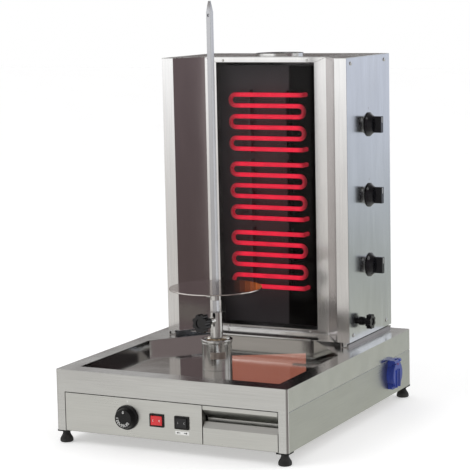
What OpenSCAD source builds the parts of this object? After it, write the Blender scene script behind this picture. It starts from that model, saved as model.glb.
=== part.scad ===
// Vertical rotisserie broiler: a base cabinet with a drip pan and a driven spindle,
// a spit with a meat disc, and a sliding tower that holds three glowing heaters.
// Millimetres, +Z up, origin on the floor under the middle of the whole object.

/* [Base cabinet] */
// Width of the base cabinet
base_w = 500; // [480:1:560]
// Depth of the base cabinet
base_d = 626; // [610:1:700]
// Height of the base cabinet, without its feet
base_h = 121.5; // [116:0.5:150]
// Height of the feet under the cabinet
foot_h = 25; // [20:1:40]
// Height of the skirt that the worktop turns down
skirt_h = 43.5; // [38:0.5:46]
// Width of the worktop's two front legs
leg_w = 19.5; // [15:0.5:22]
// Thickness of the cabinet's sheet steel
sheet = 1.5; // [1:0.1:2]
// Radius of the cabinet's upright corners
corner_r = 5; // [3:0.5:8]

/* [Drip pan] */
// Width of the worktop beside the pan
rim_side = 34; // [30:1:50]
// Width of the worktop in front of the pan
rim_front = 38; // [32:1:60]
// Depth of the pan below the worktop
pan_depth = 20.5; // [16:0.5:26]
// Distance from the cabinet's middle back to the pan's rear wall
pan_back = 134; // [120:1:140]
// Half width of the pan's rear wall
pan_back_half = 104; // [90:1:112]
// Distance from the cabinet's middle back to where the pan's corners are cut off
pan_cut_y = 3; // [-20:1:20]

/* [Spindle and spit] */
// Distance from the cabinet's middle forward to the spindle's axis
spindle_y = 106; // [95:1:130]
// Outer radius of the spindle housing
housing_r = 30; // [28:0.5:36]
// Height of the spindle housing above the pan
housing_h = 60.5; // [55:0.5:75]
// Height of the spit's tip above the floor
spit_top = 854; // [800:1:860]
// Width across the flats of the square spit
spit_w = 10; // [8:0.5:12]
// Radius of the meat disc
disc_r = 92.5; // [70:0.5:110]
// Height of the meat disc's top above the floor
disc_top = 290; // [280:1:330]
// Angle that the spindle is stopped at
spin_rest = -12; // [-45:1:45]

/* [Tower] */
// Width of the heating tower
tower_w = 418; // [400:1:440]
// Height of the heating tower's top above the floor
tower_top = 735; // [700:1:760]
// Distance from the cabinet's middle back to the tower's front
tower_front = 76; // [70:1:90]
// Distance from the cabinet's middle back to the tower's back
tower_back = 308; // [300:1:310]
// Width of the front posts
post_w = 26; // [22:0.5:32]
// Depth of the heating niche between the tower's side wings
niche_d = 60; // [50:1:62]
// Width of the glass that shows inside its frame
glass_w = 225; // [200:1:228]
// Width of the glass frame's side strips
strip_w = 26.5; // [20:0.5:28]
// How far the tower can slide forward
tower_travel = 60; // [40:1:60]

/* [Heaters] */
// Height of the lowest heater's middle above the floor
heater_z = 306; // [290:1:310]
// Distance from one heater to the next
heater_pitch = 146; // [140:1:150]
// Distance between two runs of a heater
run_pitch = 22.8; // [20:0.1:23]
// Radius of the heater tube
tube_r = 4.5; // [3.5:0.1:5]

/* [Front controls] */
// Distance from the cabinet's middle right to the control panel's right edge
panel_split = 71.6; // [60:0.1:80]
// Height of the controls above the cabinet's lower edge
control_z = 38.8; // [36:0.2:42]
// Radius of the speed dial
dial_r = 24; // [20:0.5:26]
// How far the speed dial stands out
dial_proud = 16.5; // [12:0.5:20]

/* [Side socket] */
// Distance from the cabinet's middle back to the socket's middle
socket_y = 200; // [150:1:220]
// How far the closed socket stands out
socket_proud = 18; // [16:0.5:22]

/* [Hidden] */
$fn = 48;

steel = "#b9bab6";
bright_steel = "#cfd0cf";
dark_steel = "#7c7371";
black_plastic = "#16161a";
gloss_black = "#0d0d10";
glow_red = "#e02040";

gap = 1.4;              // the seam between two covers
clear = 0.3;            // the least air between two bodies
thin = 1.2;             // the thinner sheet of inner parts
running = 0.05;         // radial clearance of a shaft in its bore

half_w = base_w / 2;
half_d = base_d / 2;
top_z = foot_h + base_h;
seam_z = top_z - skirt_h;
pan_z = top_z - pan_depth;
pan_half = half_w - rim_side;
pan_front = rim_front - half_d;

front_top = seam_z - gap;
front_left = -half_w + leg_w + gap;
front_right = half_w - leg_w - gap;
control_height = foot_h + control_z;
dial_x = -91;
main_x = -25.5;
direction_x = 28.5;
shaft_r = 3;

drawer_left = panel_split + gap;
front_foot = foot_h + thin + 0.4;
recess = 20;            // how far the drawer's finger groove goes in
groove_z = foot_h + 49.6;
bevel_z = foot_h + 33.5;
box_front = -half_d + recess + thin;
box_len = 230;
box_left = drawer_left + 5;
box_right = front_right - 5;
box_z = foot_h + 5;
box_h = 38;
drain = [150, -235];

spindle_at = [0, -spindle_y, 0];
housing_top = pan_z + housing_h;
holder_r = 12.6;
holder_top = housing_top + 53.5;
clamp_z = holder_top - 16;
clamp_knob_at = 38;
journal_r = 8;
bush_r = 20;
spit_foot = housing_top + 6;
square_clear = 0.1;
tip_h = 22;
tip_w = 4;
eye_z = spit_top - tip_h - 6;
eye_r = 2.75;
vent_r = 50;
disc_t = 2.5;
collar_h = 23;
collar_r = 11;

half_t = tower_w / 2;
tower_z = top_z + 9.5;
tower_h = tower_top - tower_z;
glass_y = tower_front + niche_d;
wing_in = glass_w / 2 + strip_w;
wing_out = half_t - post_w;
frame_top = 11.5;
frame_foot = 10.5;
panel_t = 1.2;
panel_gap = 0.6;
side_front = tower_front + panel_t + panel_gap;
middle_y = (tower_front + tower_back) / 2;
vent_y = middle_y + 20;
screws_y = middle_y - 3;
heater_y = glass_y + 16;
board_y = glass_y + 36;
heater_left = -88;
heater_right = 81;
knob_r = 25;
knob_proud = 29.5;
scale_z = heater_z - 4;   // the knobs' middles sit a little below their heaters
screw_y = 90;
screw_z = 12;

rail_x = 199.5;
lip_d = 39;
lip_z = tower_z - 4;
rod_r = 2.75;
rod_half = 114;
rail_w = 16;
rail_h = 6.5;
runner_w = 9;
lock_y = 145;
lock_z = top_z + 44.5;
tab_x = 188;
tab_t = 3;

socket_z = foot_h + 47;
lid_t = 8;
socket_base = socket_proud - lid_t - clear;
hinge_x = half_w + socket_base + clear + 3;
hinge_z = socket_z + 27;
cup_r = 19.5;
gland_y = 16.5;
gland_x = -150;

shift_x = -socket_proud / 2;
shift_y = (dial_proud - gland_y) / 2;

// ---------------------------------------------------------------- shapes

// Puts the cabinet's own middle where the whole object is centred
module placed() { translate([shift_x, shift_y, 0]) children(); }

module rounded(w, d, r) {
    square([w - 2 * r, d], center = true);
    square([w, d - 2 * r], center = true);
    for (x = [-1, 1], y = [-1, 1]) translate([x * (w / 2 - r), y * (d / 2 - r)]) circle(r);
}

module box(low, high) { translate(low) cube(high - low); }

module mirrored() {
    children();
    mirror([1, 0, 0]) children();
}

// A folded sheet: the path is one face, and the sheet lies t to its left
function left_of(v) = [-v[1], v[0]] / norm(v);
function fold_step(p, i, t) =
    let (a = left_of(p[max(i, 1)] - p[max(i, 1) - 1]),
         last = len(p) - 1,
         b = left_of(p[min(i, last - 1) + 1] - p[min(i, last - 1)]))
    t * (a + b) / (1 + a * b);
function folded(p, t) = concat(p, [for (i = [len(p) - 1 : -1 : 0]) p[i] + fold_step(p, i, t)]);

// Turns a shape drawn up the Z axis so that it points along +X, or towards the front
module along_x() { rotate([0, 90, 0]) children(); }
module to_front() { rotate([90, 0, 0]) children(); }

module pan_outline(grow) {
    g = grow;
    c = grow * 0.42;
    polygon([
        [-pan_half - g, pan_front - g], [pan_half + g, pan_front - g],
        [pan_half + g, pan_cut_y + c], [pan_back_half + c, pan_back + g],
        [-pan_back_half - c, pan_back + g], [-pan_half - g, pan_cut_y + c]
    ]);
}

module cabinet_wall(inset, t) {
    difference() {
        rounded(base_w - 2 * inset, base_d - 2 * inset, max(corner_r - inset, 0.5));
        rounded(base_w - 2 * (inset + t), base_d - 2 * (inset + t), max(corner_r - inset - t, 0.5));
    }
}

module behind_front() { translate([-half_w, corner_r - half_d]) square([base_w, base_d]); }

// ---------------------------------------------------------------- base cabinet

module base_shell() color(steel) difference() {
    union() {
        translate([0, 0, foot_h]) linear_extrude(front_top - foot_h)
            intersection() { cabinet_wall(0, sheet); behind_front(); }
        translate([0, 0, front_top - 8]) linear_extrude(8 + gap + 12)
            intersection() { cabinet_wall(sheet, thin); behind_front(); }
    }
    translate([half_w - 10, socket_y, socket_z]) along_x() cylinder(h = 20, r = cup_r + 3.3);
    translate([gland_x, half_d + 10, control_height]) to_front() cylinder(h = 20, r = 10.2);
}

module worktop() color(bright_steel) {
    difference() {
        translate([0, 0, seam_z]) linear_extrude(skirt_h) rounded(base_w, base_d, corner_r);
        translate([0, 0, seam_z - 1]) linear_extrude(skirt_h - sheet + 1)
            rounded(base_w - 2 * sheet, base_d - 2 * sheet, corner_r - sheet);
        translate([0, 0, top_z - 10]) linear_extrude(20) pan_outline(0);
        translate([110, 250, top_z - 10]) cylinder(h = 20, r = 14);
    }
    for (side = [-1, 1]) translate([0, 0, foot_h]) linear_extrude(seam_z - foot_h) intersection() {
        cabinet_wall(0, sheet);
        translate([side * (half_w - leg_w / 2), corner_r / 2 - half_d])
            square([leg_w, corner_r], center = true);
    }
}

module drip_pan() color(bright_steel) difference() {
    union() {
        translate([0, 0, pan_z - thin]) linear_extrude(pan_depth + thin - sheet) difference() {
            pan_outline(thin);
            pan_outline(0);
        }
        translate([0, 0, pan_z - thin]) linear_extrude(thin) pan_outline(thin);
        translate([0, 0, top_z - sheet - thin]) linear_extrude(thin) difference() {
            pan_outline(10);
            pan_outline(0);
        }
        translate([drain[0], drain[1], pan_z - 12]) cylinder(h = 12, r = 16);
    }
    translate([drain[0], drain[1], pan_z - 20]) cylinder(h = 30, r = 14.5);
    translate(spindle_at + [0, 0, pan_z - 10]) cylinder(h = 20, r = bush_r);
}

module switch_cut(x) {
    translate([x, -half_d, control_height]) cube([27.4, 20, 22], center = true);
}

module control_panel() color(steel) difference() {
    box([front_left, -half_d, foot_h + thin], [panel_split, 14 - half_d, front_top]);
    box([front_left + sheet, sheet - half_d, foot_h + thin + sheet],
        [panel_split - sheet, 20 - half_d, front_top - sheet]);
    translate([dial_x, 10 - half_d, control_height]) to_front() cylinder(h = 20, r = 5);
    for (x = [main_x, direction_x]) switch_cut(x);
}

module bottom_plate() color(steel) difference() {
    translate([0, 0, foot_h]) linear_extrude(thin)
        rounded(base_w - 2 * sheet, base_d - 2 * sheet, corner_r - sheet);
    for (i = [-3 : 3], side = [-1, 1])
        box([side * 60 - 22, i * 14 - spindle_y - 2.5, foot_h - 1],
            [side * 60 + 22, i * 14 - spindle_y + 2.5, foot_h + 5]);
}

foot_in = 13;
module at_feet() {
    for (x = [-1, 1], y = [-1, 1]) translate([x * (half_w - foot_in), y * (half_d - foot_in)])
        children();
}

module foot_caps() color(black_plastic) at_feet() translate([0, 0, foot_h - 2.5])
    linear_extrude(2.5) rounded(2 * foot_in, 2 * foot_in, 2);

module rubber_feet() color(black_plastic) at_feet() rotate_extrude() polygon([
    [0, 0], [11.5, 0], [13, 1.5], [13, 5.5], [12, 8.5], [9.4, 12.5], [7.8, 15.5], [7.4, 18],
    [7.4, foot_h - 2.5], [0, foot_h - 2.5]
]);

// ---------------------------------------------------------------- grease drawer

module drawer_runners() color(steel) {
    rail_z = foot_h + thin;
    lift = box_z - clear - rail_z;
    reach = 9;
    for (side = [0, 1]) {
        edge = side == 0 ? box_left - 0.6 : box_right + 0.6;
        dir = side == 0 ? 1 : -1;
        translate([edge, -half_d + 36, rail_z]) linear_extrude(28)
            translate([dir < 0 ? 0 : -sheet, 0]) square([sheet, box_len - 12]);
        translate([dir > 0 ? edge : edge - reach, -half_d + 36, rail_z])
            cube([reach, box_len - 12, lift]);
    }
}

// The front is one folded sheet: a lip that slopes in over a finger groove, a bevel and a face
module drawer_front() color(steel) {
    face = -half_d;
    lip = [[face + 10, front_top], [face, front_top], [face, front_top - 8],
           [face + recess, groove_z], [face + recess, box_z + 2]];
    pull = [[face + 8, bevel_z + 11.4], [face, bevel_z], [face, front_foot],
            [face + recess + thin, front_foot]];
    translate([drawer_left, 0, 0]) rotate([90, 0, 90]) linear_extrude(front_right - drawer_left) {
        polygon(folded(lip, thin));
        polygon(folded(pull, thin));
        translate([face + recess, front_foot]) square([thin, box_z + 3 - front_foot]);
    }
}

module drawer_box() color(bright_steel) difference() {
    box([box_left, box_front, box_z], [box_right, box_front + box_len, box_z + box_h]);
    box([box_left + thin, box_front + thin, box_z + thin],
        [box_right - thin, box_front + box_len - thin, box_z + box_h + 5]);
}

// ---------------------------------------------------------------- front controls

module regulator_body() color("#d8d2c0") difference() {
    box([dial_x - 19, sheet - half_d, control_height - 19],
        [dial_x + 19, 34 - half_d, control_height + 19]);
    translate([dial_x, 16 - half_d, control_height]) to_front() cylinder(h = 40, r = shaft_r + running);
}

module regulator_shaft() color(bright_steel)
    translate([dial_x, 13 - half_d, control_height]) to_front() cylinder(h = 23, r = shaft_r);

module regulator_dial() color(black_plastic)
    translate([dial_x, -half_d, control_height]) to_front() rotate_extrude() difference() {
        polygon([[0, 1], [dial_r, 1], [dial_r, 3.5], [dial_r - 3, 5], [dial_r - 5.5, dial_proud - 1],
                 [dial_r - 6.5, dial_proud], [dial_r - 7.2, dial_proud - 0.4],
                 [0, dial_proud - 0.4]]);
        translate([-1, -1]) square([1 + shaft_r, 11]);
    }

rocker_w = 24;
rocker_h = 18;
rocker_r = 12;
pivot_r = 1.25;

module at_switch(x) { translate([x, -half_d, control_height]) children(); }

module switch_body(x) at_switch(x) difference() {
    union() {
        to_front() linear_extrude(2) rounded(31, 25.5, 1.5);
        translate([0, 12, 0]) cube([27, 24, 21.6], center = true);
        for (pin = [-8, 0, 8]) translate([pin, 28, 0]) cube([1, 9, 6], center = true);
    }
    translate([0, 3, 0]) cube([rocker_w + 0.8, 2 * 11, rocker_h + 0.6], center = true);
    translate([0, 0, -11]) cylinder(h = 22, r = pivot_r + running);
}

// The front of the rocker is a shallow V, and its back is round about the pivot
module rocker(x, tilt) at_switch(x) rotate([0, 0, tilt]) {
    translate([0, 0, -rocker_h / 2]) linear_extrude(rocker_h) intersection() {
        circle(rocker_r);
        polygon([[-13, 6], [-13, -4], [0, -2.6], [13, -4], [13, 6]]);
    }
    translate([0, 0, -10.6]) cylinder(h = 21.2, r = pivot_r);
}

module main_switch_body() color(black_plastic) switch_body(main_x);
module main_rocker() color("#d8283a") rocker(main_x, 5);
module direction_switch_body() color(black_plastic) switch_body(direction_x);
module direction_rocker() color(gloss_black) rocker(direction_x, 0);

// ---------------------------------------------------------------- side socket

module socket_outline(w, h, r) {
    rounded(w, h, 5);
    circle(r);
}

module at_socket() { translate([half_w, socket_y, socket_z]) rotate([90, 0, 90]) children(); }

module hinge_knuckle(from, to, r) {
    translate([hinge_x, socket_y + from, hinge_z]) rotate([-90, 0, 0]) cylinder(h = to - from, r = r);
}

module socket_housing() color("#2c3fa8") difference() {
    union() {
        at_socket() linear_extrude(socket_base) socket_outline(36, 62, 25);
        at_socket() translate([0, 0, -14]) cylinder(h = 15, r = cup_r + 3);
        for (side = [-1, 1]) hinge_knuckle(side * 13.7 - 4.3, side * 13.7 + 4.3, 4);
        for (side = [-1, 1]) translate([half_w + socket_base / 2, socket_y + side * 13.7 - 4.3, hinge_z - 4])
            cube([hinge_x - half_w - socket_base / 2, 8.6, 8]);
    }
    at_socket() translate([0, 0, -12]) cylinder(h = 60, r = cup_r);
    hinge_knuckle(-17, 17, 1.5 + running);
}

module socket_insert() color(black_plastic) difference() {
    at_socket() translate([0, 0, -12]) cylinder(h = 3, r = cup_r);
    for (side = [-1, 1]) at_socket() translate([side * 9.5, 0, -14]) cylinder(h = 8, r = 2.5);
}

module socket_lid() color("#3450c0") {
    lid_x = half_w + socket_base + clear;
    plate_t = 6;
    difference() {
        union() {
            at_socket() translate([0, 0, socket_base + clear]) linear_extrude(plate_t)
                intersection() { socket_outline(32, 54, 25); translate([-30, -40]) square([60, 62]); }
            for (i = [-1 : 1]) box([lid_x, socket_y + i * 8 - 1.6, socket_z - 27],
                                   [half_w + socket_proud, socket_y + i * 8 + 1.6, socket_z + 10]);
        }
        at_socket() translate([0, -30, 0]) cylinder(h = 40, r = 5.5);
    }
    box([hinge_x - 1, socket_y - 9, socket_z + 20], [hinge_x + 3, socket_y + 9, hinge_z]);
    hinge_knuckle(-9, 9, 3);
    hinge_knuckle(-16, 16, 1.5);
}

module cable_gland() color(black_plastic) difference() {
    translate([gland_x, half_d + gland_y, control_height]) to_front() {
        cylinder(h = 10, r = 9);
        translate([0, 0, 9]) cylinder(h = gland_y - 9, r = 12, $fn = 6);
        cylinder(h = gland_y + 12, r = 10);
    }
    translate([gland_x, half_d + gland_y + 1, control_height]) to_front() cylinder(h = 40, r = 4.5);
}

// ---------------------------------------------------------------- drive and spindle

module turned() { translate(spindle_at) rotate([0, 0, spin_rest]) children(); }

module gear_motor() color("#8d9196") difference() {
    translate(spindle_at) {
        translate([0, 10, pan_z - thin - 20]) cube([74, 62, 32], center = true);
        translate([0, 16, foot_h + thin + 6]) cylinder(h = 60, r = 27);
        translate([0, 0, pan_z - thin - 11]) cylinder(h = 11, r = 26);
    }
    translate(spindle_at + [0, 0, pan_z - 26]) cylinder(h = 30, r = 12.6);
}

module shaft_coupling() color(bright_steel) translate(spindle_at) {
    translate([0, 0, pan_z - 25.5]) cylinder(h = 24, r = 12.55);
}

module spindle_housing() color(bright_steel) translate(spindle_at) rotate_extrude() polygon([
    [bush_r, pan_z], [housing_r, pan_z], [housing_r, housing_top - 7.5],
    [housing_r + 1.8, housing_top - 6], [housing_r + 1.8, housing_top - 0.8],
    [housing_r + 1, housing_top], [housing_r - 4, housing_top],
    [housing_r - 4, housing_top - 3], [bush_r, housing_top - 3]
]);

module nameplate() color(dark_steel) translate(spindle_at + [0, 0, housing_top - 37])
    rotate([0, 0, -89.5]) rotate_extrude(angle = 61) translate([housing_r, 0]) square([0.6, 13.7]);

module spindle_bushes() color("#b08d4a") for (z = [pan_z, housing_top - 12.5]) translate(spindle_at)
    translate([0, 0, z]) difference() {
        cylinder(h = 9.5, r = bush_r);
        translate([0, 0, -1]) cylinder(h = 14, r = journal_r + running);
    }

module square_hole(w, low, high) { translate([-w / 2, -w / 2, low]) cube([w, w, high - low]); }

module spindle() color(bright_steel) turned() difference() {
    union() {
        translate([0, 0, pan_z - 1.5]) cylinder(h = housing_h + 2.5, r = journal_r);
        translate([0, 0, housing_top + clear]) cylinder(h = holder_top - housing_top - clear, r = holder_r);
        translate([0, -8, clamp_z]) to_front() cylinder(h = 14, r = 7.5);
    }
    square_hole(spit_w + 2 * square_clear, spit_foot - clear, holder_top + 5);
    translate([0, 0, clamp_z]) to_front() cylinder(h = 30, r = 4 + running);
}

module clamp_screw() color(bright_steel) turned()
    translate([0, -spit_w / 2 - clear, clamp_z]) to_front() cylinder(h = 34, r = 4);

// A star grip with eight lobes, drawn up the Z axis
module star_grip(r, t, lobe) {
    difference() {
        linear_extrude(t) {
            circle(r - lobe * 0.8);
            for (i = [0 : 7]) rotate(i * 45 + 22.5) translate([r - lobe, 0]) circle(lobe);
        }
        translate([0, 0, t - 2]) cylinder(h = 3, r = r * 0.5);
    }
}

module clamp_knob() color(gloss_black) turned() translate([0, -clamp_knob_at, clamp_z]) to_front()
    difference() {
        union() {
            star_grip(19, 15, 4.6);
            translate([0, 0, -5]) cylinder(h = 6, r = 9);
        }
        translate([0, 0, -6]) cylinder(h = 12, r = 4);
    }

module spit() color("#c4c6cc") turned() difference() {
    w = spit_w / 2;
    outline = [[-w, spit_foot], [w, spit_foot], [w, spit_top - tip_h], [tip_w / 2, spit_top],
               [-tip_w / 2, spit_top], [-w, spit_top - tip_h]];
    intersection() {
        translate([0, w, 0]) to_front() linear_extrude(spit_w) polygon(outline);
        rotate([0, 0, 90]) translate([0, w, 0]) to_front() linear_extrude(spit_w) polygon(outline);
    }
    translate([0, 20, eye_z]) to_front() cylinder(h = 40, r = eye_r);
}

module meat_disc() color(bright_steel) turned() difference() {
    translate([0, 0, disc_top - disc_t]) cylinder(h = disc_t, r = disc_r, $fn = 96);
    square_hole(spit_w + 2 * square_clear, disc_top - 10, disc_top + 10);
}

collar_screw_z = disc_top - disc_t - collar_h + 7;
module disc_collar() color(bright_steel) turned() difference() {
    translate([0, 0, disc_top - disc_t - collar_h]) cylinder(h = collar_h, r = collar_r);
    square_hole(spit_w + 2 * square_clear, disc_top - 40, disc_top + 10);
    translate([0, 0, collar_screw_z]) rotate([0, -90, 0]) cylinder(h = 30, r = 2.5);
}

module collar_screw() color(steel) turned() translate([0, 0, collar_screw_z]) rotate([0, -90, 0]) {
    translate([0, 0, spit_w / 2 + clear]) cylinder(h = 8, r = 2.5);
    translate([0, 0, collar_r]) cylinder(h = 10.5, r = 5, $fn = 6);
}

// ---------------------------------------------------------------- tower slide and lock

module slide_rails() color(steel) mirrored() translate([rail_x, tower_front, top_z]) difference() {
    translate([-rail_w / 2, 0, 0]) cube([rail_w, tower_back - tower_front, rail_h]);
    translate([-rail_w / 2 + sheet, -1, sheet]) cube([rail_w - 2 * sheet, tower_back, rail_h]);
}

module lock_tab() color(steel)
    box([tab_x, tower_front + 4, top_z], [tab_x + tab_t, tower_front + 84, lock_z + 9]);

module lock_stud() color(bright_steel)
    translate([tab_x + tab_t + clear, lock_y, lock_z]) along_x() cylinder(h = 36, r = 4);

module lock_knob() color(gloss_black) translate([half_t, lock_y, lock_z]) along_x() difference() {
    union() {
        translate([0, 0, 0.6]) cylinder(h = 4, r = 9);
        translate([0, 0, 4]) cylinder(h = 10, r = 6.6);
        translate([0, 0, 13]) star_grip(15.5, 11, 3.6);
    }
    translate([0, 0, -2]) cylinder(h = 20.4, r = 4);
}

// ---------------------------------------------------------------- tower casing

module tower_plan(inset) {
    polygon([
        [-half_t + inset, tower_front + inset], [-wing_out, tower_front + inset],
        [-wing_in, glass_y + inset], [wing_in, glass_y + inset],
        [wing_out, tower_front + inset], [half_t - inset, tower_front + inset],
        [half_t - inset, tower_back - inset], [-half_t + inset, tower_back - inset]
    ]);
}

module tower_floor() color(steel) {
    difference() {
        translate([0, 0, tower_z]) linear_extrude(thin) tower_plan(panel_t + 0.2);
        box([tab_x - 2, tower_front - 1, tower_z - 1],
            [tab_x + tab_t + 2, tower_front + 86 + tower_travel, tower_z + 3]);
        translate([110, 250, tower_z - 1]) cylinder(h = 5, r = 18);
    }
    mirrored() box([rail_x - runner_w / 2, tower_front + panel_t + 0.4, top_z + sheet + clear],
                   [rail_x + runner_w / 2, tower_back - panel_t - 0.4, tower_z]);
}

module side_panel() box([half_t - panel_t, side_front, tower_z],
                        [half_t, tower_back, tower_top - panel_t]);

module at_side_screws() {
    for (y = [-1, 1], z = [tower_z + screw_z + 1, tower_top - screw_z])
        translate([half_t, screws_y + y * screw_y, z]) children();
}

module side_panel_left() color(steel) mirror([1, 0, 0]) difference() {
    side_panel();
    at_side_screws() translate([-5, 0, 0]) along_x() cylinder(h = 10, r = 2.1);
}

module side_panel_right() color(steel) difference() {
    side_panel();
    at_side_screws() translate([-5, 0, 0]) along_x() cylinder(h = 10, r = 2.1);
    translate([half_t - 5, lock_y, lock_z]) along_x() cylinder(h = 10, r = 4 + running);
    at_knobs() translate([-5, 0, 0]) along_x() cylinder(h = 10, r = 5);
}

module panel_screws() color(bright_steel) mirrored() at_side_screws() along_x() {
    translate([0, 0, -9]) cylinder(h = 9.5, r = 2);
    rotate_extrude() polygon([[0, 0], [4, 0], [3.6, 1.6], [1.2, 2.2], [1.2, 1.4], [0, 1.4]]);
}

module rear_panel() color(steel) difference() {
    box([-half_t + panel_t + 0.1, tower_back - panel_t, tower_z + thin],
        [half_t - panel_t - 0.1, tower_back, tower_top - panel_t]);
    for (row = [0 : 5], side = [-1, 1], low = [60, tower_h - 130])
        box([side * 75 - 45, tower_back - 5, tower_z + low + row * 12],
            [side * 75 + 45, tower_back + 5, tower_z + low + row * 12 + 4]);
}

module roof() color(steel) difference() {
    translate([0, 0, tower_top - panel_t]) linear_extrude(panel_t) tower_plan(0);
    translate([0, vent_y, tower_top - 10]) cylinder(h = 20, r = vent_r - 7);
}

module vent_collar() color(bright_steel) translate([0, vent_y, tower_top]) {
    inner = vent_r - 1.5;
    difference() {
        cylinder(h = 5, r = vent_r);
        translate([0, 0, -1]) cylinder(h = 10, r = inner);
    }
    for (i = [-4 : 4]) translate([0, i * 10, 1.5])
        cube([2 * sqrt((inner + 0.7) * (inner + 0.7) - i * i * 100), 2, 2], center = true);
}

// A front post and a slanted wing, folded from one sheet, with a return behind the side panel
module reflector() translate([0, 0, tower_z + thin]) linear_extrude(tower_h - thin - panel_t) {
    translate([half_t - panel_t - 1.4, tower_front + panel_t / 2]) square([panel_t, 20]);
    polygon(folded([[half_t, tower_front], [wing_out, tower_front], [wing_in, glass_y]], -panel_t));
}

module reflector_left() color(dark_steel) mirror([1, 0, 0]) reflector();
module reflector_right() color(dark_steel) reflector();

// Four mitred strips around the glass
module glass_frame() color(bright_steel) {
    x0 = glass_w / 2;
    z0 = tower_z + frame_foot;
    z1 = tower_top - frame_top;
    low = tower_z + thin;
    high = tower_top - panel_t;
    cut = 0.15;
    translate([0, glass_y + panel_t, 0]) to_front() linear_extrude(panel_t) {
        polygon([[-wing_in + cut, high], [wing_in - cut, high], [x0 - cut, z1], [-x0 + cut, z1]]);
        polygon([[-wing_in + cut, low], [-x0 + cut, z0], [x0 - cut, z0], [wing_in - cut, low]]);
        for (side = [-1, 1]) polygon([
            [side * wing_in, low + 2 * cut], [side * wing_in, high - 2 * cut],
            [side * x0, z1 - 2 * cut], [side * x0, z0 + 2 * cut]
        ]);
    }
}

module glass_panel() color("#1c1a1d") box(
    [-glass_w / 2 - 6, glass_y + panel_t, tower_z + frame_foot - 6],
    [glass_w / 2 + 6, glass_y + panel_t + 4, tower_top - frame_top + 6]);

// A shallow shelf that leads the fat from the glass into the pan
module lip_plate() color(bright_steel) {
    slope = (wing_out - wing_in) / niche_d;
    intersection() {
        translate([-half_w, 0, 0]) rotate([90, 0, 90]) linear_extrude(base_w)
            polygon([[glass_y - 0.2, tower_z + thin], [glass_y - 0.2, tower_z + 2 * thin],
                     [glass_y - lip_d, lip_z + thin], [glass_y - lip_d, lip_z]]);
        linear_extrude(tower_top) polygon([
            [-wing_in + 1, glass_y], [wing_in - 1, glass_y],
            [wing_in - 1 + slope * (lip_d + 2), glass_y - lip_d - 2],
            [-wing_in + 1 - slope * (lip_d + 2), glass_y - lip_d - 2]
        ]);
    }
}

// A rod along the lip's front edge, over the pan, so that the fat drips clear
module edge_rod() color(bright_steel)
    translate([-rod_half, glass_y - lip_d - rod_r, lip_z + thin / 2]) along_x()
        cylinder(h = 2 * rod_half, r = rod_r);

// ---------------------------------------------------------------- heaters

module half_turn() { rotate_extrude(angle = 180) translate([run_pitch / 2, 0]) circle(tube_r, $fn = 24); }

// Six runs joined by bends, with a tail at each end through the board
module heater(z) translate([0, heater_y, z]) {
    low = -2.5 * run_pitch;
    left = heater_left + run_pitch / 2;
    right = heater_right - run_pitch / 2;
    tail = board_y - heater_y + 22;
    for (i = [0 : 5]) {
        outer = i == 0 || i == 5;
        translate([left, 0, low + i * run_pitch]) along_x()
            cylinder(h = (outer ? heater_right - tube_r : right) - left, r = tube_r, $fn = 24);
    }
    for (i = [0, 2, 4]) translate([left, 0, low + (i + 0.5) * run_pitch]) rotate([90, 0, 0])
        rotate([0, 0, 90]) half_turn();
    for (i = [1, 3]) translate([right, 0, low + (i + 0.5) * run_pitch]) rotate([90, 0, 0])
        rotate([0, 0, -90]) half_turn();
    for (i = [0, 5]) translate([heater_right - tube_r, 0, low + i * run_pitch]) {
        rotate([-90, 0, 0]) cylinder(h = tail, r = tube_r, $fn = 24);
        sphere(tube_r, $fn = 24);
    }
}

module heater_bottom() color(glow_red) heater(heater_z);
module heater_middle() color(glow_red) heater(heater_z + heater_pitch);
module heater_top() color(glow_red) heater(heater_z + 2 * heater_pitch);

module heater_board() color("#3a3638") difference() {
    box([-glass_w / 2 - 8, board_y, tower_z + 12], [glass_w / 2 + 8, board_y + 12, tower_top - 20]);
    for (h = [0 : 2], side = [-1, 1])
        translate([heater_right - tube_r, board_y - 1, heater_z + h * heater_pitch + side * 2.5 * run_pitch])
            rotate([-90, 0, 0]) cylinder(h = 20, r = tube_r + 0.4);
}

module heater_supports() color("#8a8480") for (h = [0 : 2], x = [-48, 42])
    box([x - 3, heater_y + tube_r + 0.1, heater_z + h * heater_pitch - 66],
        [x + 3, board_y, heater_z + h * heater_pitch + 66]);

// ---------------------------------------------------------------- heat controls

module at_knob(level) { translate([half_t, middle_y, scale_z + level * heater_pitch]) children(); }
module at_knobs() { for (level = [0 : 2]) at_knob(level) children(); }

module heat_switches() color("#d8d2c0") at_knobs() difference() {
    box([-34, -18, -18], [-panel_t, 18, 18]);
    translate([-14, 0, 0]) along_x() cylinder(h = 30, r = shaft_r + running);
}

module heat_knob(level) at_knob(level) {
    along_x() {
        translate([0, 0, -13.5]) cylinder(h = 18, r = shaft_r);
        rotate_extrude() polygon([[0, 0.6], [knob_r, 0.6], [knob_r, 2], [21, 6], [18, 10.5], [17, 13], [0, 13]]);
    }
    translate([12, 0, 0]) rotate([90, 0, 90]) linear_extrude(knob_proud - 12) rounded(12, 34, 2.5);
}

module heat_knob_bottom() color(gloss_black) heat_knob(0);
module heat_knob_middle() color(gloss_black) heat_knob(1);
module heat_knob_top() color(gloss_black) heat_knob(2);

// ---------------------------------------------------------------- the nodes

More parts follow.
